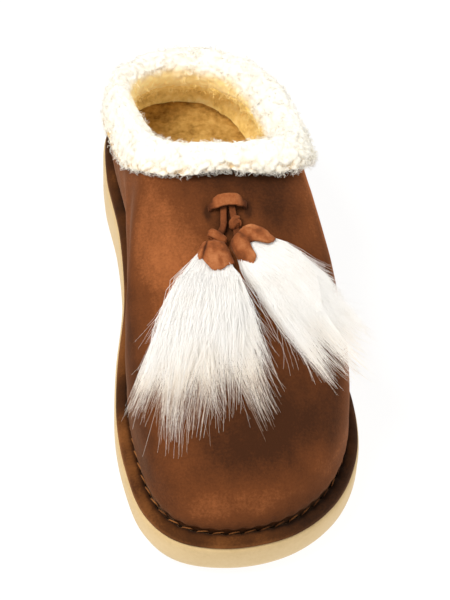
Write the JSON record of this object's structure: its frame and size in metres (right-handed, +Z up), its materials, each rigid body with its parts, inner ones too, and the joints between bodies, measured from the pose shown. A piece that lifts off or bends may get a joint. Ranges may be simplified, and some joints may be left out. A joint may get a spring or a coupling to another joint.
{
  "type": "slip-on shoe",
  "caption": "Suede slip-on shoe for the left foot with a shearling cuff turned out over the collar, a fleece footbed, a cream rubber sole and fur tassels on the instep.",
  "frame": {"origin": "middle of the shoe's box, on the ground under the sole", "axes": "+Z up, toe towards -Y, heel towards +Y, outer (lateral) side towards +X"},
  "size_m": [0.1142, 0.262, 0.0994],
  "materials": {
    "cream_rubber": "moulded cream rubber, dull satin",
    "brown_suede": "brushed brown suede with a soft nap",
    "tan_suede": "tan suede strip",
    "honey_fleece": "honey fleece, short curled pile",
    "white_shearling": "white shearling, curled pile",
    "white_fur": "long straight white fur"
  },
  "bodies": {
    "root": {"outsole": "cream_rubber", "welt": "brown_suede", "upper": "brown_suede", "insole": "honey_fleece", "cuff": "white_shearling", "keeper": "tan_suede", "thong": "tan_suede", "tassel_cap_medial": "tan_suede", "tassel_cap_lateral": "tan_suede", "tassel_fur_medial": "white_fur", "tassel_fur_lateral": "white_fur"}
  },
  "joints": []
}
